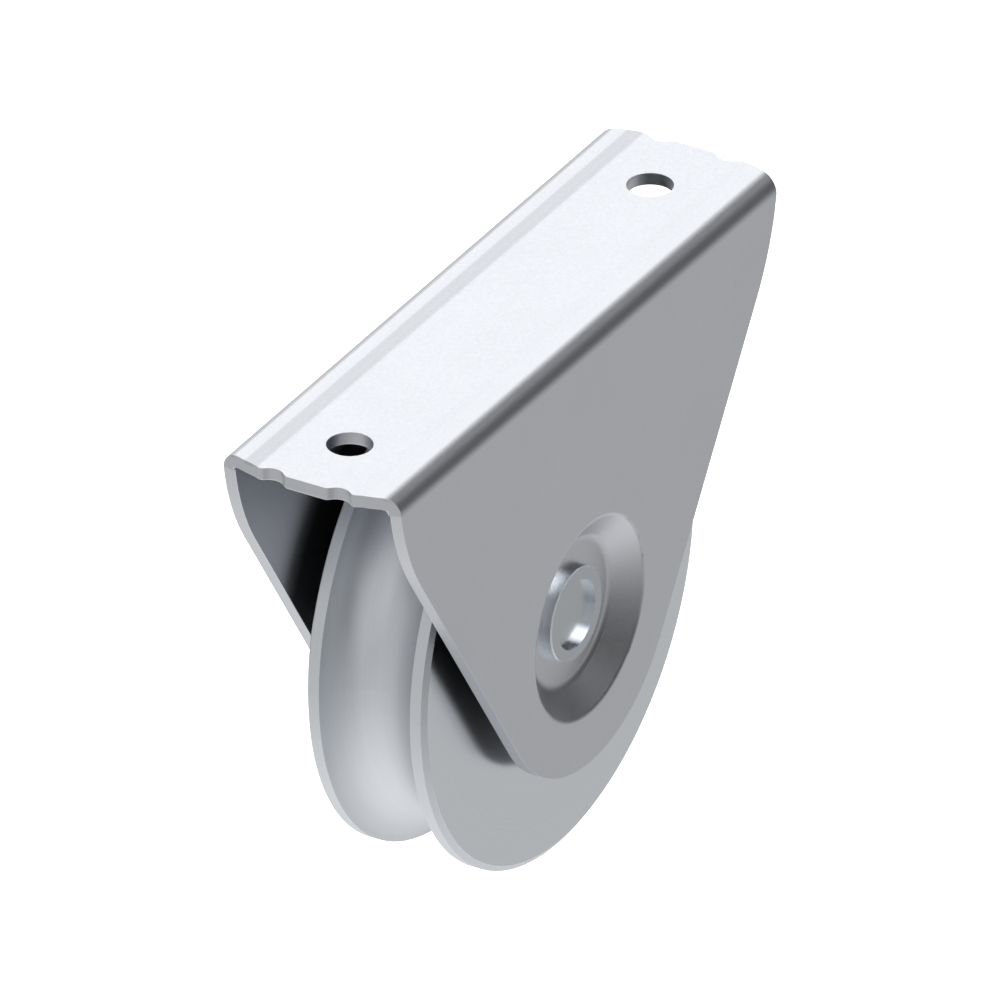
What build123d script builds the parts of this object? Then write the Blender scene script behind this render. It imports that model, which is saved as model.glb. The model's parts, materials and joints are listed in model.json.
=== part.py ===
from build123d import *
from math import acos, atan2, cos, degrees, radians, sin, sqrt
import os

# Round groove wheel in a folded sheet bracket, for a sliding gate that rolls on round track.
# Millimetres. Origin at the centre of the bracket's top face, +Z up, X along the track,
# Y along the axle. The bracket is screwed under the gate frame by its two top holes.

# Wheel
wheel_diameter = 100.0
groove_radius = 10.0
groove_depth = 7.6
rim_land = 2.3
rim_chamfer_width = 0.75
rim_chamfer_height = 1.2
hub_recess_radius = 24.0
hub_recess_depth = 3.5
hub_recess_round = 0.8
bore_lip_height = 2.5

# Bracket sheet
sheet = 2.5
bend_inner_radius = 1.0
side_gap = 3.75
plate_length = 142.4
plate_to_wheel = 9.5
hole_spacing = 110.0
hole_diameter = 8.8

# Shallow panel pressed down along the middle of the plate
panel_drop = 0.25
panel_half_width = 9.7
panel_slope_width = 2.1

# Ends of the plate, seen from above
notch_offset = 7.15
notch_radius = 3.0
notch_depth = 1.5
notch_round = 1.6
corner_setback = 1.65
bend_setback = 2.5
edge_bulge = 0.3

# Outline of the ears, seen along the axle
ear_bottom_radius = 30.6
ear_shoulder_radius = 48.0
ear_top_lean = 9.5

# Round dish pressed into each ear
dish_outer_radius = 19.9
dish_floor_radius = 14.6
dish_depth = 4.6
dish_rim_round = 1.1
dish_floor_round = 2.3
dish_flat_margin = 2.5

# Axle, a shouldered pin with a riveted head at each end
axle_radius = 8.5
spigot_radius = 7.0
head_radius = 9.35
head_height = 1.8
head_bevel = 0.25
head_recess_radius = 6.85
head_recess_depth = 1.35
spacer_wall = 3.0

# Deep groove ball bearing
bearing_width = 12.0
ring_height = 2.38
ball_radius = 3.37
ball_count = 8
race_conformity = 1.04
race_shoulder = 1.4
ring_chamfer = 0.5
shield_sheet = 0.5
shield_seat_step = 0.8
shield_inset = 0.4
shield_joggle = 0.4
cage_sheet = 0.7
cage_half_width = 1.4
rivet_radius = 0.5
rivet_head_radius = 0.9
rivet_head_height = 0.35

# Retaining ring in the wheel's bore
ring_sheet = 1.75
ring_depth_in_groove = 1.2
ring_width = 3.0
ring_gap_angle = 24.0
ring_lug_radius = 2.2
ring_lug_hole_radius = 1.2

# Clearances
seat_clearance = 0.02
ball_clearance = 0.05
pocket_clearance = 0.12
shield_clearance = 0.3
ring_clearance = 0.05

# Places that follow from the sizes above
wheel_radius = wheel_diameter / 2
groove_half_width = sqrt(groove_radius**2 - (groove_radius - groove_depth) ** 2)
wheel_half_width = groove_half_width + rim_land + rim_chamfer_width
ear_inner = wheel_half_width + side_gap
ear_outer = ear_inner + sheet
bend_outer_radius = bend_inner_radius + sheet
axle_drop = wheel_radius + plate_to_wheel
plate_half_length = plate_length / 2
ear_top_half = plate_half_length - bend_setback
ear_top_height = axle_drop - bend_outer_radius
dish_floor_inner = ear_inner - dish_depth
dish_floor_outer = dish_floor_inner + sheet

bearing_bore = axle_radius + seat_clearance
inner_race_bottom = bearing_bore + ring_height
pitch_radius = inner_race_bottom + ball_clearance + ball_radius
outer_race_bottom = pitch_radius + ball_radius + ball_clearance
bearing_outer_radius = outer_race_bottom + ring_height
race_radius = ball_radius * race_conformity
wheel_bore_radius = bearing_outer_radius + seat_clearance
bearing_half_width = bearing_width / 2

axle_line = Plane(origin=(0, 0, -axle_drop), x_dir=(1, 0, 0), z_dir=(0, -1, 0))
axle_axis = Axis((0, 0, -axle_drop), (0, 1, 0))


def turned(*faces):
    """Turns flat sections about the axle. A section's X is the radius and its Y is along the axle."""
    plane = Plane(origin=(0, 0, -axle_drop), x_dir=(1, 0, 0), z_dir=(0, 0, 1))
    return revolve([plane * face for face in faces], axle_axis)


def section(*points):
    """A flat section through (radius, along the axle) points."""
    return make_face(Polyline(*points, close=True))


def band(r_low, r_high, y_low, y_high):
    """A rectangular section between two radii and two places along the axle."""
    return section((r_low, y_low), (r_high, y_low), (r_high, y_high), (r_low, y_high))


def corners_near(face, points):
    """The corners of a flat section that lie nearest to the given points."""
    return [min(face.vertices(), key=lambda v: (v.X - x) ** 2 + (v.Y - y) ** 2) for x, y in points]


def rounded(face, radius, points):
    return fillet(corners_near(face, points), radius)


def bevelled(face, length, points):
    return chamfer(corners_near(face, points), length)


def disc(radius, y_low, y_high, x=0.0, z=0.0):
    """A round plug along Y, placed from the axle's centre line."""
    centre = Location((x, y_low, z - axle_drop), (-90, 0, 0))
    return centre * extrude(Circle(radius), y_high - y_low)


# Bracket
def fold_section():
    """The U of the folded sheet, across the plate, with its shallow middle panel."""
    ear_end = -axle_drop - ear_bottom_radius
    slope_top = panel_half_width + panel_slope_width
    bend_start = ear_outer - bend_outer_radius
    bend_centre = (bend_start, -bend_outer_radius)
    plate_top = [(0, -panel_drop), (panel_half_width, -panel_drop), (slope_top, 0), (bend_start, 0)]
    plate_under = [(y, z - sheet) for y, z in plate_top]
    ear = [
        (ear_outer, -bend_outer_radius), (ear_outer, ear_end),
        (ear_inner, ear_end), (ear_inner, -bend_outer_radius),
    ]
    edges = [
        Polyline(*plate_top),
        CenterArc(bend_centre, bend_outer_radius, 0, 90),
        Polyline(*ear),
        CenterArc(bend_centre, bend_inner_radius, 0, 90),
        Polyline(*plate_under),
        Line(plate_top[0], plate_under[0]),
    ]
    half = make_face(edges)
    return half + mirror(half, Plane.YZ)


def plate_outline():
    """The plate from above: bulging ends, each with a straight middle between two round notches."""
    shoulder = Vector(plate_half_length, notch_offset)
    corner = Vector(plate_half_length - corner_setback, ear_outer - bend_outer_radius)
    between = (shoulder + corner) * 0.5 + Vector(edge_bulge, 0)
    far_side = ear_outer + sheet
    quarter = make_face(
        [
            Polyline((0, 0), (plate_half_length, 0), shoulder),
            ThreePointArc(shoulder, between, corner),
            Polyline(corner, (ear_top_half, ear_outer), (ear_top_half, far_side), (0, far_side), (0, 0)),
        ]
    )
    half = quarter + mirror(quarter, Plane.XZ)
    notch_bottom = plate_half_length - notch_depth
    for y in (-notch_offset, notch_offset):
        half -= Pos(notch_bottom + notch_radius, y) * Circle(notch_radius)
    notch_reach = notch_offset + notch_radius
    notch_edges = [v for v in half.vertices() if v.X > notch_bottom and abs(v.Y) < notch_reach]
    half = fillet(notch_edges, notch_round)
    return half + mirror(half, Plane.YZ)


def ear_outline():
    """An ear along the axle: a round bottom, round shoulders under the plate, straight flanks between."""
    top = Vector(ear_top_half, ear_top_height)
    lean = Vector(cos(radians(ear_top_lean)), -sin(radians(ear_top_lean)))
    centre = top - lean * ear_shoulder_radius
    flank_angle = acos((ear_bottom_radius - ear_shoulder_radius) / centre.length) - atan2(centre.Y, centre.X)
    out = Vector(cos(flank_angle), -sin(flank_angle))
    foot = out * ear_bottom_radius
    tangent = centre + out * ear_shoulder_radius
    middle = centre + (out + lean).normalized() * ear_shoulder_radius
    half = make_face(
        [
            Line((0, axle_drop), (plate_half_length, axle_drop)),
            Line((plate_half_length, axle_drop), (plate_half_length, ear_top_height)),
            Line((plate_half_length, ear_top_height), top),
            ThreePointArc(top, middle, tangent),
            Line(tangent, foot),
            CenterArc((0, 0), ear_bottom_radius, -90, 90 - degrees(flank_angle)),
            Line((0, -ear_bottom_radius), (0, axle_drop)),
        ]
    )
    return half + mirror(half, Plane.YZ)


def dish_section():
    """The dished sheet, from the axle's hole out to where it is flush with the ear."""
    wall = sqrt((dish_outer_radius - dish_floor_radius) ** 2 + dish_depth**2)
    lean = (dish_outer_radius - dish_floor_radius) / dish_depth
    back_shift = sheet * (wall / dish_depth - lean)
    hole = spigot_radius + seat_clearance
    flush = dish_outer_radius + back_shift + dish_flat_margin
    front_rim = (dish_outer_radius, ear_outer)
    front_floor = (dish_floor_radius, dish_floor_outer)
    back_rim = (dish_outer_radius + back_shift, ear_inner)
    back_floor = (dish_floor_radius + back_shift, dish_floor_inner)
    face = section(
        (hole, dish_floor_inner), back_floor, back_rim, (flush, ear_inner),
        (flush, ear_outer), front_rim, front_floor, (hole, dish_floor_outer),
    )
    face = rounded(face, dish_rim_round, [front_rim])
    face = rounded(face, dish_floor_round, [front_floor, back_rim])
    face = rounded(face, dish_rim_round, [back_floor])
    return face, flush


def make_bracket():
    fold = extrude(Plane.YZ * fold_section(), plate_half_length, both=True)
    plan = extrude(plate_outline(), axle_drop + ear_bottom_radius, dir=(0, 0, -1))
    ears = extrude(axle_line * ear_outline(), ear_outer, both=True)
    dish, flush = dish_section()
    bracket = (fold & plan & ears) - disc(flush, -ear_outer, ear_outer)
    dished = turned(dish)
    bracket = bracket + dished + mirror(dished, Plane.XZ)
    hole = extrude(Circle(hole_diameter / 2), panel_drop + sheet, dir=(0, 0, -1))
    return bracket - [Pos(x, 0) * hole for x in (-hole_spacing / 2, hole_spacing / 2)]


# Wheel
def make_wheel():
    """The turned wheel. Its bore has a lip on one side and the retaining ring's groove on the other."""
    hub_half = wheel_half_width - hub_recess_depth
    lip_radius = wheel_bore_radius - bore_lip_height
    land_edge = wheel_half_width - rim_chamfer_width
    chamfer_radius = wheel_radius - rim_chamfer_height
    face = section(
        (lip_radius, -hub_half), (hub_recess_radius, -hub_half), (hub_recess_radius, -wheel_half_width),
        (chamfer_radius, -wheel_half_width), (wheel_radius, -land_edge), (wheel_radius, land_edge),
        (chamfer_radius, wheel_half_width), (hub_recess_radius, wheel_half_width),
        (hub_recess_radius, hub_half), (wheel_bore_radius, hub_half),
        (wheel_bore_radius, -bearing_half_width), (lip_radius, -bearing_half_width),
    )
    face = rounded(face, hub_recess_round, [(hub_recess_radius, -hub_half), (hub_recess_radius, hub_half)])
    face -= Pos(wheel_radius + groove_radius - groove_depth, 0) * Circle(groove_radius)
    groove_low = bearing_half_width - ring_clearance
    groove_high = bearing_half_width + ring_sheet + ring_clearance
    groove_floor = wheel_bore_radius + ring_depth_in_groove
    face -= band(lip_radius, groove_floor, groove_low, groove_high)
    return turned(face)


# Axle and spacers
def make_axle():
    """One revolved pin: thick between the ears, thinner through them, with a recessed head at each end."""
    head_top = dish_floor_outer + head_height
    recess_floor = head_top - head_recess_depth
    half = section(
        (0, 0), (axle_radius, 0), (axle_radius, dish_floor_inner), (spigot_radius, dish_floor_inner),
        (spigot_radius, dish_floor_outer), (head_radius, dish_floor_outer),
        (head_radius, head_top - head_bevel), (head_radius - head_bevel, head_top),
        (head_recess_radius, head_top), (head_recess_radius, recess_floor), (0, recess_floor),
    )
    return turned(half + mirror(half, Plane.XZ))


def make_spacer():
    """The right spacer, from the inner ring to the ear's dish."""
    inner = axle_radius + seat_clearance
    return turned(band(inner, inner + spacer_wall, bearing_half_width, dish_floor_inner))


# Bearing
def make_inner_ring():
    shoulder = pitch_radius - ball_radius + race_shoulder
    face = band(bearing_bore, shoulder, -bearing_half_width, bearing_half_width)
    face = bevelled(face, ring_chamfer, [(bearing_bore, s * bearing_half_width) for s in (-1, 1)])
    return turned(face - Pos(inner_race_bottom + race_radius, 0) * Circle(race_radius))


def make_outer_ring():
    """The outer ring, stepped at each side for a shield."""
    shoulder = pitch_radius + ball_radius - race_shoulder
    seat = bearing_half_width - shield_inset - shield_sheet
    face = band(shoulder, bearing_outer_radius, -bearing_half_width, bearing_half_width)
    face = bevelled(face, ring_chamfer, [(bearing_outer_radius, s * bearing_half_width) for s in (-1, 1)])
    face -= Pos(outer_race_bottom - race_radius, 0) * Circle(race_radius)
    for low, high in ((seat, bearing_half_width), (-bearing_half_width, -seat)):
        face -= band(pitch_radius, shoulder + shield_seat_step, low, high)
    return turned(face)


def make_shield():
    """The right shield, a thin ring whose inner part is pressed inward."""
    outer = pitch_radius + ball_radius - race_shoulder + shield_seat_step - seat_clearance
    inner = pitch_radius - ball_radius + race_shoulder + shield_clearance
    high = bearing_half_width - shield_inset
    low = high - shield_sheet
    bend_out = outer - 2 * shield_seat_step
    bend_in = bend_out - shield_joggle
    return turned(
        section(
            (outer, low), (outer, high), (bend_out, high), (bend_in, high - shield_joggle),
            (inner, high - shield_joggle), (inner, low - shield_joggle),
            (bend_in, low - shield_joggle), (bend_out, low),
        )
    )


def around(count, turn=0.0):
    """Angles of evenly spaced places about the axle."""
    return [turn + 360.0 * i / count for i in range(count)]


rivet_angles = around(ball_count, 180.0 / ball_count)


def on_pitch(angle):
    """The point of the balls' circle at an angle about the axle."""
    return Vector(pitch_radius * cos(radians(angle)), 0, pitch_radius * sin(radians(angle)) - axle_drop)


def make_ball(angle):
    return Pos(on_pitch(angle)) * Sphere(ball_radius)


def make_cage_half():
    """The right half of the pressed cage: a flat strip with a cup over each ball, riveted between them."""
    low, high = pitch_radius - cage_half_width, pitch_radius + cage_half_width
    pocket = ball_radius + pocket_clearance
    cup = pocket + cage_sheet
    centres = [Pos(on_pitch(angle)) for angle in around(ball_count)]
    strip = turned(band(low, high, 0, cage_sheet))
    cups = (Part() + [centre * Sphere(cup) for centre in centres]) & turned(band(low, high, 0, cup))
    holes = [rivet_shank(angle, rivet_radius + seat_clearance) for angle in rivet_angles]
    return (strip + cups) - [centre * Sphere(pocket) for centre in centres] - holes


def rivet_shank(angle, radius):
    spot = on_pitch(angle)
    return disc(radius, -cage_sheet, cage_sheet, spot.X, spot.Z + axle_drop)


def make_rivet(angle):
    spot = on_pitch(angle)
    x, z = spot.X, spot.Z + axle_drop
    top = cage_sheet + rivet_head_height
    heads = disc(rivet_head_radius, cage_sheet, top, x, z) + disc(rivet_head_radius, -top, -cage_sheet, x, z)
    return rivet_shank(angle, rivet_radius) + heads


# Retaining ring
def make_retaining_ring():
    """An open spring ring with a lug and a plier hole at each end of its gap."""
    outer = wheel_bore_radius + ring_depth_in_groove - ring_clearance
    low, high = bearing_half_width, bearing_half_width + ring_sheet
    ring = turned(band(outer - ring_width, outer, low, high))
    half_gap = ring_gap_angle / 2
    reach = 2 * outer
    wedge_x, wedge_y = reach * cos(radians(half_gap)), reach * sin(radians(half_gap))
    wedge = section((0, 0), (wedge_x, wedge_y), (wedge_x, -wedge_y))
    ring_face = Plane(origin=(0, low, -axle_drop), x_dir=(0, 0, -1), z_dir=(0, 1, 0))
    ring -= extrude(ring_face * wedge, ring_sheet)
    lug_circle = wheel_bore_radius - ring_lug_radius - ring_clearance
    lug_angle = half_gap + degrees(ring_lug_radius / lug_circle)
    holes = []
    for side in (-1, 1):
        angle = radians(-90 + side * lug_angle)
        x, z = lug_circle * cos(angle), lug_circle * sin(angle)
        ring += disc(ring_lug_radius, low, high, x, z)
        holes.append(disc(ring_lug_hole_radius, low, high, x, z))
    return ring - holes


def save(name, shape):
    """Writes one sub-part to its own file, as one solid or a group of solids."""
    solids = list(shape.solids())
    body = solids[0] if len(solids) == 1 else Compound(children=solids)
    body.label = name
    export_step(body, f"parts/{name}.step")


def mirrored(shape):
    """The same piece on the other side of the wheel."""
    return mirror(shape, Plane.XZ)


def main():
    os.makedirs("parts", exist_ok=True)
    save("bracket", make_bracket())
    save("wheel", make_wheel())
    save("axle", make_axle())
    save("bearing_inner_ring", make_inner_ring())
    save("bearing_outer_ring", make_outer_ring())
    save("retaining_ring", make_retaining_ring())
    for name, piece in (("spacer", make_spacer()), ("shield", make_shield()), ("cage", make_cage_half())):
        save(f"{name}_right", piece)
        save(f"{name}_left", mirrored(piece))
    for number, angle in enumerate(around(ball_count), start=1):
        save(f"ball_{number}", make_ball(angle))
    save("cage_rivets", Compound(children=[make_rivet(angle) for angle in rivet_angles]))


main()
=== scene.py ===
import json
import math

import bpy
from mathutils import Matrix, Vector


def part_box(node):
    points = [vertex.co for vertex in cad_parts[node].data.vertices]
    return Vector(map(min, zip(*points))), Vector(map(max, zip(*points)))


# Looks for the round groove wheel: zinc-plated sheet bracket, turned wheel and riveted axle.
# Metres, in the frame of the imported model: +Z up, X along the track, Y along the axle.

MM = 0.001

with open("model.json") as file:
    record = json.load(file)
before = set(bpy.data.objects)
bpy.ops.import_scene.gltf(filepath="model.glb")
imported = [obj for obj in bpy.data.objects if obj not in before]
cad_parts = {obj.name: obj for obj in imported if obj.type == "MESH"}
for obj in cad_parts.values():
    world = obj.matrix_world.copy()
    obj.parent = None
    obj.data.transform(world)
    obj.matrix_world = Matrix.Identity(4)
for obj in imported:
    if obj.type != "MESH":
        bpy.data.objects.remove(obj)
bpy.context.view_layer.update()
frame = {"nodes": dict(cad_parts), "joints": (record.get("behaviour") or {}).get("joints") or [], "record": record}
nodes = frame["nodes"]
wheel_spin = next(joint for joint in frame["joints"] if joint["name"] == "wheel_spin")
AXLE_HEIGHT = wheel_spin["pos_m"][2]

# Camera, as fitted to the photograph: a parallel view of this scale from this side
CAMERA_AZIMUTH = math.radians(120.305)
CAMERA_ELEVATION = math.radians(30.127)
CAMERA_ROLL = math.radians(-0.156)
PIXELS_PER_MM = 5.423
PHOTO_SIZE = 1000
ORIGIN_PIXEL = (500.05, 313.42)
CAMERA_DISTANCE = 0.6

# Floor
FLOOR_DROP = 0.35
FLOOR_SIZE = 40.0
FLOOR_COLOUR = (0.9, 0.9, 0.9)
FLOOR_ROUGHNESS = 0.9
FLOOR_GLOW = 0.6

# Patterns: a scale is noise waves per metre, tones are a pattern's darkest and lightest, and a bump is
# its strength and height. The noise between these values is spread over the whole range.
NOISE_MIDDLE = (0.3, 0.7)

# Sheet of the bracket: its roughness is given where it is smoothest and where it is roughest
SHEET_COLOUR = (0.498, 0.510, 0.538)
SHEET_ROUGHNESS = (0.35, 0.41)
SHEET_EDGE_ROUND = 0.16 * MM
GRAIN_SCALE = 2600.0
GRAIN_TONES = (0.97, 1.03)
GRAIN_BUMP = (0.06, 0.05 * MM)
CLOUD_SCALE = 60.0
CLOUD_TONES = (0.985, 1.015)

# Top of the plate: painted shade and light by the place over its width in mm. Painted shade darkens the outlines
# of both bends and draws a grey band where the panel's far edge is pressed down, wider than the modelled slope;
# painted light makes the slope's inner part as light as the flat sheet beside it.
TOP_PAINTED_SHADE_AND_LIGHT = (
    (-20.0, 0.70), (-16.6, 0.70), (-16.1, 1.0),
    (-13.9, 1.0), (-13.4, 0.81), (-11.95, 0.81), (-11.75, 0.95), (-10.8, 0.95),
    (-10.4, 1.16), (-9.75, 1.16), (-9.6, 1.0),
    (9.6, 1.0), (9.75, 0.97), (11.75, 0.97), (11.95, 1.0),
    (15.4, 1.0), (16.1, 0.86), (20.0, 0.86),
)
# Down round the bends that painted shade and light fades out, between these heights
TOP_FADES_FROM = -0.3 * MM
TOP_FADES_TO = -0.9 * MM
TOP_GRAIN_SCALE = 1500.0
TOP_GRAIN_TONES = (0.94, 1.06)

# Inside of the folded bracket: closer to the middle than this, lower than this, and clear of the dishes
INSIDE_HALF_WIDTH = 16.6 * MM
INSIDE_TOP = -2.6 * MM
DISH_RADIUS = 23.0 * MM
# Painted light makes the sheet this much brighter there, apart from where the wheel turns beside the ears:
# painted shade dulls it up to one radius about the axle, and it is clear of that painted shade from the other
INSIDE_PAINTED_LIGHT = 1.4
WHEEL_PAINTED_SHADE = 0.50
WHEEL_PAINTED_SHADE_FROM = 50.0 * MM
WHEEL_PAINTED_SHADE_TO = 56.0 * MM

# Turned finishes: colour, roughness where smoothest and where roughest, and the share that is bare metal
TURNED_FINISHES = {
    "zinc_wheel": ((0.612, 0.636, 0.665), 0.34, 0.40, 0.75),
    "bright_pin": ((0.378, 0.395, 0.415), 0.22, 0.26, 1.0),
    "bearing_steel": ((0.62, 0.63, 0.65), 0.12, 0.18, 1.0),
    "ball_steel": ((0.75, 0.75, 0.77), 0.05, 0.09, 1.0),
    "cage_steel": ((0.55, 0.54, 0.52), 0.30, 0.40, 1.0),
    "shield_steel": ((0.60, 0.61, 0.62), 0.26, 0.34, 1.0),
    "spring_steel": ((0.05, 0.05, 0.055), 0.40, 0.50, 0.4),
    "spacer_steel": ((0.58, 0.59, 0.60), 0.30, 0.38, 1.0),
}
RING_SCALE = 2200.0
RING_BUMP = (0.02, 0.03 * MM)
TURNED_GRAIN_SCALE = 1800.0
TURNED_TONES = (0.985, 1.015)
# The wheel's flat sides, beyond this distance from the middle, are turned finer, and bare of the film that
# dulls its rims and groove
WHEEL_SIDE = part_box("wheel")[1][1] - 0.05 * MM
SIDE_ROUGHNESS = 0.26
SIDE_TONE = 0.93
# A face of the pin leans sideways by 0 where it is square to the axle, up to 1 on a round side.
# Round sides get painted light: they are this much brighter than the pressed faces, and the change spans these
# leans.
PIN_SIDE_PAINTED_LIGHT = 2.4
PIN_SIDE_LEANS = (0.05, 0.38)
# A bevel has this lean. Its burnished edge scatters light, so it is bare metal only in part, and wholly so
# where the lean is further from the bevel's than the second of these.
BEVEL_LEAN = 1 - math.cos(math.radians(45))
BEVEL_REACH = (0.05, 0.20)
BEVEL_METAL = 0.25

# Surround: brightness by height of the direction, from straight down to straight up
LIT_SIDE = ((-1.0, 1.25), (-0.8, 1.02), (-0.5, 0.75), (-0.25, 0.69), (0.4, 0.68), (1.0, 0.80))
DIM_SIDE = (
    (-1.0, 1.25), (-0.8, 1.00), (-0.5, 0.75), (-0.33, 0.62), (-0.13, 0.25), (0.15, 0.14), (1.0, 0.24),
)
LIT_UNTIL_Y = -0.24
DIM_FROM_Y = 0.09
# What the camera sees behind the floor
BACKDROP = 1.0
# Soft panels in the surround: direction, angle within which each is full, angle where it ends, strength
SOFTBOX = ((-0.55, -0.75, 0.37), 30.0, 46.0, 1.36)
KICKER = ((0.12, 0.32, 0.94), 8.0, 26.0, 3.3)
KICKER_TAIL = ((-0.30, 0.36, 0.88), 4.0, 22.0, 2.5)
SIDE_PANEL = ((0.85, 0.40, 0.35), 20.0, 45.0, 0.65)
# The softbox fades in between these heights of the direction
SOFTBOX_FOOT = (-0.35, 0.05)
# Dark cards, each of which takes away a share of the light
DARK_CARDS = {
    "before the dish": ((0.40, 0.90, -0.10), 20.0, 60.0, -0.30),
    "over the dish": ((-0.10, 0.90, 0.42), 10.0, 38.0, -0.60),
    "over the near bend": ((-0.75, 0.14, 0.65), 12.0, 33.0, -0.42),
    "behind the far bend": ((-0.75, -0.64, -0.15), 16.0, 33.0, -1.0),
}


def material(name):
    """A new material with its node tree emptied down to one surface shader."""
    mat = bpy.data.materials.new(name)
    mat.use_nodes = True
    tree = mat.node_tree
    tree.nodes.clear()
    out = tree.nodes.new("ShaderNodeOutputMaterial")
    shader = tree.nodes.new("ShaderNodeBsdfPrincipled")
    tree.links.new(shader.outputs["BSDF"], out.inputs["Surface"])
    return mat, tree, shader


def add(tree, kind, **values):
    """A node of a kind, with values for its settings or its input sockets."""
    node = tree.nodes.new(kind)
    for key, value in values.items():
        if key in node.inputs:
            node.inputs[key].default_value = value
        else:
            setattr(node, key, value)
    return node


def mapped(tree, value, from_low, from_high, to_low=0.0, to_high=1.0, curve="LINEAR"):
    """A value carried from one range to another and held inside it."""
    node = add(tree, "ShaderNodeMapRange", interpolation_type=curve)
    ends = {"From Min": from_low, "From Max": from_high, "To Min": to_low, "To Max": to_high}
    for socket, number in ends.items():
        node.inputs[socket].default_value = number
    tree.links.new(value, node.inputs["Value"])
    return node.outputs["Result"]


def math_node(tree, operation, *values):
    """An operation on numbers or on other nodes' values."""
    node = add(tree, "ShaderNodeMath", operation=operation)
    for socket, value in zip(node.inputs, values):
        if isinstance(value, (int, float)):
            socket.default_value = value
        else:
            tree.links.new(value, socket)
    return node.outputs["Value"]


def noise(tree, where, scale, detail, roughness=0.55):
    """A noise pattern at a place, from 0 to 1."""
    node = add(tree, "ShaderNodeTexNoise", Scale=scale, Detail=detail, Roughness=roughness)
    tree.links.new(where, node.inputs["Vector"])
    return node.outputs["Fac"]


def spread(tree, pattern, low, high):
    """Maps the middle of a noise pattern to a range."""
    return mapped(tree, pattern, *NOISE_MIDDLE, low, high)


def coordinates(tree, vector):
    """The three numbers of a vector."""
    split = add(tree, "ShaderNodeSeparateXYZ")
    tree.links.new(vector, split.inputs["Vector"])
    return split.outputs


def times(tree, colour, factor):
    """A colour brightened or darkened by a pattern."""
    node = add(tree, "ShaderNodeMix", data_type="RGBA", blend_type="MULTIPLY")
    node.inputs["Factor"].default_value = 1.0
    grey = add(tree, "ShaderNodeCombineColor")
    for channel in ("Red", "Green", "Blue"):
        tree.links.new(factor, grey.inputs[channel])
    if isinstance(colour, tuple):
        node.inputs["A"].default_value = (*colour, 1.0)
    else:
        tree.links.new(colour, node.inputs["A"])
    tree.links.new(grey.outputs["Color"], node.inputs["B"])
    return node.outputs["Result"]


def ramp(tree, value, stops, curve):
    """Greys over a value from 0 to 1."""
    node = add(tree, "ShaderNodeValToRGB")
    node.color_ramp.interpolation = curve
    elements = node.color_ramp.elements
    while len(elements) < len(stops):
        elements.new(1.0)
    for element, (place, level) in zip(elements, stops):
        element.position = place
        element.color = (level, level, level, 1.0)
    tree.links.new(value, node.inputs["Fac"])
    return node.outputs["Color"]


def grey_of(tree, colour):
    """The number that a grey stands for."""
    split = add(tree, "ShaderNodeSeparateColor")
    tree.links.new(colour, split.inputs["Color"])
    return split.outputs["Red"]


def ring_places(tree, where):
    """Texture places that are the same all around the axle: radius and place along the axle."""
    shift = add(tree, "ShaderNodeVectorMath", operation="SUBTRACT")
    shift.inputs[1].default_value = (0.0, 0.0, AXLE_HEIGHT)
    tree.links.new(where, shift.inputs[0])
    across = add(tree, "ShaderNodeVectorMath", operation="MULTIPLY")
    across.inputs[1].default_value = (1.0, 0.0, 1.0)
    tree.links.new(shift.outputs["Vector"], across.inputs[0])
    radius = add(tree, "ShaderNodeVectorMath", operation="LENGTH")
    tree.links.new(across.outputs["Vector"], radius.inputs[0])
    place = add(tree, "ShaderNodeCombineXYZ")
    tree.links.new(radius.outputs["Value"], place.inputs["X"])
    tree.links.new(coordinates(tree, where)["Y"], place.inputs["Y"])
    return place.outputs["Vector"]


def plated_sheet():
    """Satin zinc on rolled sheet: a fine even grain with soft clouds in it, and painted light and shade inside the
    bracket and on the plate's top.
    """
    mat, tree, shader = material("zinc_sheet")
    where = add(tree, "ShaderNodeTexCoord").outputs["Object"]
    grain = noise(tree, where, GRAIN_SCALE, detail=2.0)
    clouds = noise(tree, where, CLOUD_SCALE, detail=4.0)
    colour = times(tree, SHEET_COLOUR, spread(tree, grain, *GRAIN_TONES))
    colour = times(tree, colour, spread(tree, clouds, *CLOUD_TONES))
    # Painted light inside the folded bracket and painted shade beside the wheel
    colour = times(tree, colour, painted_light_and_shade_inside(tree, where))
    # Painted shade and light over the plate's top, with its coarser grain
    colour = times(tree, colour, top_grain_and_painted_shade(tree, where))
    tree.links.new(colour, shader.inputs["Base Color"])
    tree.links.new(spread(tree, grain, *SHEET_ROUGHNESS), shader.inputs["Roughness"])
    shader.inputs["Metallic"].default_value = 1.0
    strength, height = GRAIN_BUMP
    fine = add(tree, "ShaderNodeBump", Strength=strength, Distance=height)
    tree.links.new(grain, fine.inputs["Height"])
    rounded_edges = add(tree, "ShaderNodeBevel", samples=6, Radius=SHEET_EDGE_ROUND)
    tree.links.new(rounded_edges.outputs["Normal"], fine.inputs["Normal"])
    tree.links.new(fine.outputs["Normal"], shader.inputs["Normal"])
    return mat


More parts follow.
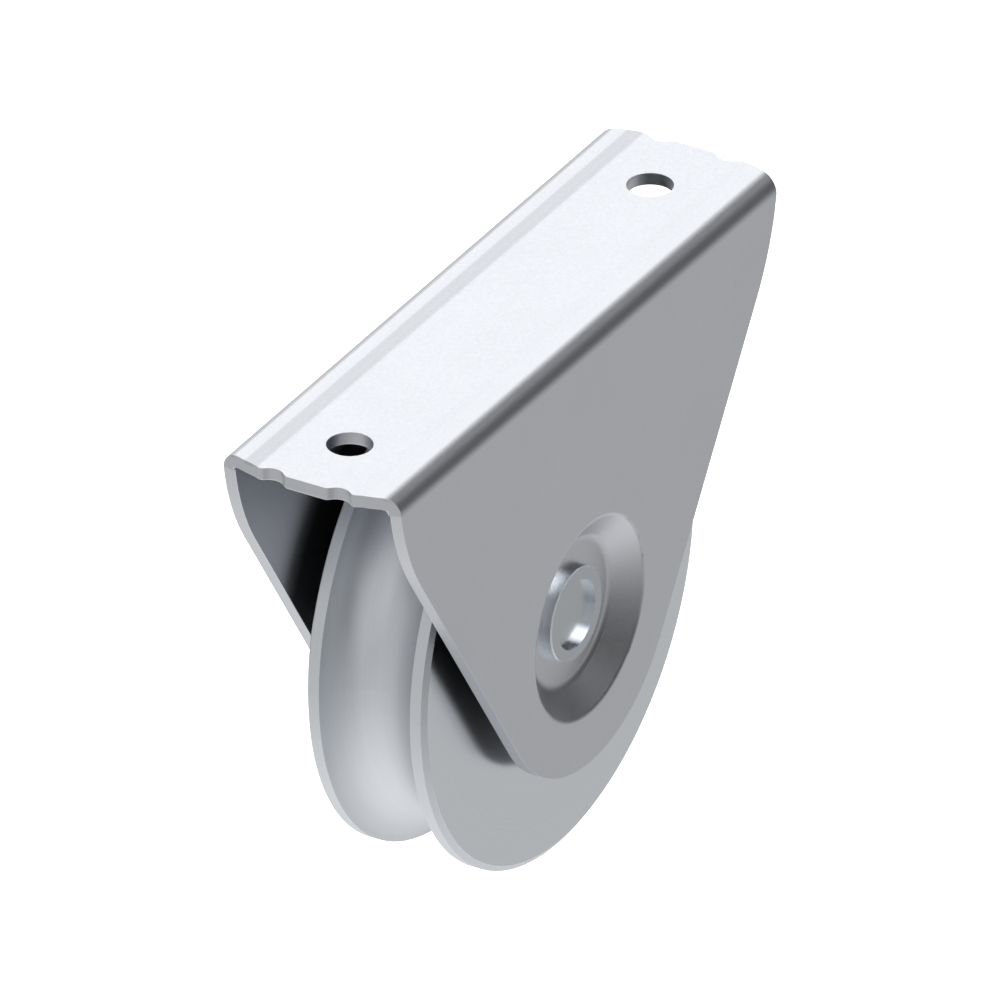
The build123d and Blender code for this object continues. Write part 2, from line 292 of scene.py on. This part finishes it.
def top_grain_and_painted_shade(tree, where):
    """How bright the plate's top is: painted shade and light over its width, with a coarser grain. 1 below the
    top.
    """
    place = coordinates(tree, where)
    top = mapped(tree, place["Z"], TOP_FADES_TO, TOP_FADES_FROM)
    left, right = TOP_PAINTED_SHADE_AND_LIGHT[0][0], TOP_PAINTED_SHADE_AND_LIGHT[-1][0]
    across = mapped(tree, place["Y"], left * MM, right * MM)
    stops = [((y - left) / (right - left), painted_tone) for y, painted_tone in TOP_PAINTED_SHADE_AND_LIGHT]
    # Painted shade and light across the top of the plate
    painted_tone = grey_of(tree, ramp(tree, across, stops, "LINEAR"))
    grain = noise(tree, where, TOP_GRAIN_SCALE, detail=4.0, roughness=0.7)
    grain = spread(tree, grain, *TOP_GRAIN_TONES)
    change = math_node(tree, "SUBTRACT", math_node(tree, "MULTIPLY", painted_tone, grain), 1.0)
    return math_node(tree, "ADD", 1.0, math_node(tree, "MULTIPLY", top, change))


def painted_light_and_shade_inside(tree, where):
    """Painted light and shade on the sheet: 1 outside, painted light inside the folded bracket, painted shade
    beside the wheel.
    """
    place = coordinates(tree, where)
    radius = coordinates(tree, ring_places(tree, where))["X"]
    near = math_node(tree, "LESS_THAN", math_node(tree, "ABSOLUTE", place["Y"]), INSIDE_HALF_WIDTH)
    low = math_node(tree, "LESS_THAN", place["Z"], INSIDE_TOP)
    clear = math_node(tree, "GREATER_THAN", radius, DISH_RADIUS)
    inside = math_node(tree, "MULTIPLY", math_node(tree, "MULTIPLY", near, low), clear)
    # Painted shade near the wheel, painted light further out
    level = mapped(tree, radius, WHEEL_PAINTED_SHADE_FROM, WHEEL_PAINTED_SHADE_TO, WHEEL_PAINTED_SHADE, INSIDE_PAINTED_LIGHT)
    change = math_node(tree, "MULTIPLY", inside, math_node(tree, "SUBTRACT", level, 1.0))
    return math_node(tree, "ADD", 1.0, change)


def turned_metal(name, colour, rough_low, rough_high, metal):
    """Plated turned steel: very fine rings about the axle over a soft grain."""
    mat, tree, shader = material(name)
    where = add(tree, "ShaderNodeTexCoord").outputs["Object"]
    rings = noise(tree, ring_places(tree, where), RING_SCALE, detail=1.0)
    grain = noise(tree, where, TURNED_GRAIN_SCALE, detail=2.0)
    shaded = times(tree, colour, spread(tree, rings, *TURNED_TONES))
    shaded = times(tree, shaded, spread(tree, grain, *TURNED_TONES))
    rough = spread(tree, grain, rough_low, rough_high)
    shader.inputs["Metallic"].default_value = metal
    if name == "bright_pin":
        # The pin's round sides get painted light
        shaded = pin_sides(tree, shader, shaded)
    if name == "zinc_wheel":
        shaded, rough = wheel_sides(tree, shader, where, shaded, rough, metal)
    tree.links.new(shaded, shader.inputs["Base Color"])
    tree.links.new(rough, shader.inputs["Roughness"])
    strength, height = RING_BUMP
    fine = add(tree, "ShaderNodeBump", Strength=strength, Distance=height)
    tree.links.new(rings, fine.inputs["Height"])
    tree.links.new(fine.outputs["Normal"], shader.inputs["Normal"])
    return mat


def pin_sides(tree, shader, shaded):
    """Brightens the pin's round sides with painted light, and takes bare metal from its bevels."""
    normal = coordinates(tree, add(tree, "ShaderNodeTexCoord").outputs["Normal"])
    lean = math_node(tree, "SUBTRACT", 1.0, math_node(tree, "ABSOLUTE", normal["Y"]))
    off_bevel = math_node(tree, "ABSOLUTE", math_node(tree, "SUBTRACT", lean, BEVEL_LEAN))
    tree.links.new(mapped(tree, off_bevel, *BEVEL_REACH, BEVEL_METAL, 1.0), shader.inputs["Metallic"])
    # Painted light on the round sides
    return times(tree, shaded, mapped(tree, lean, *PIN_SIDE_LEANS, 1.0, PIN_SIDE_PAINTED_LIGHT))


def wheel_sides(tree, shader, where, shaded, rough, metal):
    """Gives the wheel's two flat sides their own even roughness and tone, as bare metal."""
    across = math_node(tree, "ABSOLUTE", coordinates(tree, where)["Y"])
    flat = math_node(tree, "GREATER_THAN", across, WHEEL_SIDE)
    tree.links.new(mapped(tree, flat, 0.0, 1.0, metal, 1.0), shader.inputs["Metallic"])
    elsewhere = math_node(tree, "MULTIPLY", rough, math_node(tree, "SUBTRACT", 1.0, flat))
    rough = math_node(tree, "ADD", elsewhere, math_node(tree, "MULTIPLY", flat, SIDE_ROUGHNESS))
    return times(tree, shaded, mapped(tree, flat, 0.0, 1.0, 1.0, SIDE_TONE)), rough


def dress():
    """Gives every CAD node its finish."""
    finishes = {name: turned_metal(name, *values) for name, values in TURNED_FINISHES.items()}
    finishes["zinc_sheet"] = plated_sheet()
    slots = {part["node"]: part["material_slot"] for part in frame["record"]["subparts"]}
    for name, node in nodes.items():
        for material_slot in node.material_slots:
            material_slot.material = finishes[slots[name]]


def studio():
    """A plain pale floor well below the part."""
    bpy.ops.object.select_all(action="DESELECT")
    bpy.ops.mesh.primitive_plane_add(size=FLOOR_SIZE, location=(0, 0, -FLOOR_DROP))
    floor = bpy.context.active_object
    floor.name = "floor"
    mat, tree, shader = material("pale_floor")
    shader.inputs["Base Color"].default_value = (*FLOOR_COLOUR, 1.0)
    shader.inputs["Roughness"].default_value = FLOOR_ROUGHNESS
    shader.inputs["Emission Color"].default_value = (1.0, 1.0, 1.0, 1.0)
    shader.inputs["Emission Strength"].default_value = FLOOR_GLOW
    floor.data.materials.append(mat)
    floor.visible_glossy = False
    floor.visible_diffuse = False


def curve_of_height(tree, height, stops):
    """Brightness over the height of the direction, from -1 to 1."""
    places = [((z + 1) / 2, level) for z, level in stops]
    return ramp(tree, mapped(tree, height, -1.0, 1.0), places, "EASE")


def panel(tree, direction, toward, full_angle, end_angle, strength):
    """A round soft panel in the surround."""
    near = add(tree, "ShaderNodeVectorMath", operation="DOT_PRODUCT")
    near.inputs[1].default_value = Vector(toward).normalized()
    tree.links.new(direction, near.inputs[0])
    edge, full = math.cos(math.radians(end_angle)), math.cos(math.radians(full_angle))
    return mapped(tree, near.outputs["Value"], edge, full, 0.0, strength, "SMOOTHSTEP")


def surround():
    """The soft light that the metal mirrors, as a function of direction."""
    world = bpy.data.worlds.new("studio")
    bpy.context.scene.world = world
    world.use_nodes = True
    tree = world.node_tree
    tree.nodes.clear()
    out = tree.nodes.new("ShaderNodeOutputWorld")
    background = tree.nodes.new("ShaderNodeBackground")
    tree.links.new(background.outputs["Background"], out.inputs["Surface"])
    direction = add(tree, "ShaderNodeTexCoord").outputs["Generated"]
    toward = coordinates(tree, direction)
    mix = add(tree, "ShaderNodeMix", data_type="RGBA")
    side = mapped(tree, toward["Y"], LIT_UNTIL_Y, DIM_FROM_Y, curve="SMOOTHSTEP")
    tree.links.new(side, mix.inputs["Factor"])
    tree.links.new(curve_of_height(tree, toward["Z"], LIT_SIDE), mix.inputs["A"])
    tree.links.new(curve_of_height(tree, toward["Z"], DIM_SIDE), mix.inputs["B"])
    total = grey_of(tree, mix.outputs["Result"])
    for card in DARK_CARDS.values():
        left = math_node(tree, "ADD", 1.0, panel(tree, direction, *card))
        total = math_node(tree, "MULTIPLY", total, left)
    foot = mapped(tree, toward["Z"], *SOFTBOX_FOOT, curve="SMOOTHSTEP")
    softbox = math_node(tree, "MULTIPLY", panel(tree, direction, *SOFTBOX), foot)
    total = math_node(tree, "ADD", total, softbox)
    for light in (KICKER, KICKER_TAIL, SIDE_PANEL):
        total = math_node(tree, "ADD", total, panel(tree, direction, *light))
    seen = add(tree, "ShaderNodeLightPath").outputs["Is Camera Ray"]
    backdrop = math_node(tree, "MULTIPLY", seen, math_node(tree, "SUBTRACT", BACKDROP, total))
    tree.links.new(math_node(tree, "ADD", total, backdrop), background.inputs["Strength"])
    background.inputs["Color"].default_value = (1.0, 1.0, 1.0, 1.0)


def camera():
    """The photograph's camera."""
    azimuth, elevation, roll = CAMERA_AZIMUTH, CAMERA_ELEVATION, CAMERA_ROLL
    back = Vector((
        math.sin(azimuth) * math.cos(elevation),
        -math.cos(azimuth) * math.cos(elevation),
        math.sin(elevation),
    ))
    level = Vector((math.cos(azimuth), math.sin(azimuth), 0))
    upright = back.cross(level)
    right = level * math.cos(roll) + upright * math.sin(roll)
    up = upright * math.cos(roll) - level * math.sin(roll)
    scale = MM / PIXELS_PER_MM
    middle = PHOTO_SIZE / 2
    aim = right * (middle - ORIGIN_PIXEL[0]) * scale + up * (ORIGIN_PIXEL[1] - middle) * scale
    data = bpy.data.cameras.new("camera")
    data.type = "ORTHO"
    data.ortho_scale = PHOTO_SIZE * scale
    cam = bpy.data.objects.new("camera", data)
    bpy.context.scene.collection.objects.link(cam)
    turn = Matrix((right, up, back)).transposed()
    cam.rotation_mode = "QUATERNION"
    cam.rotation_quaternion = turn.to_quaternion()
    cam.location = aim + back * CAMERA_DISTANCE
    bpy.context.scene.camera = cam


dress()
studio()
surround()
camera()
bpy.context.scene.view_settings.view_transform = "Standard"
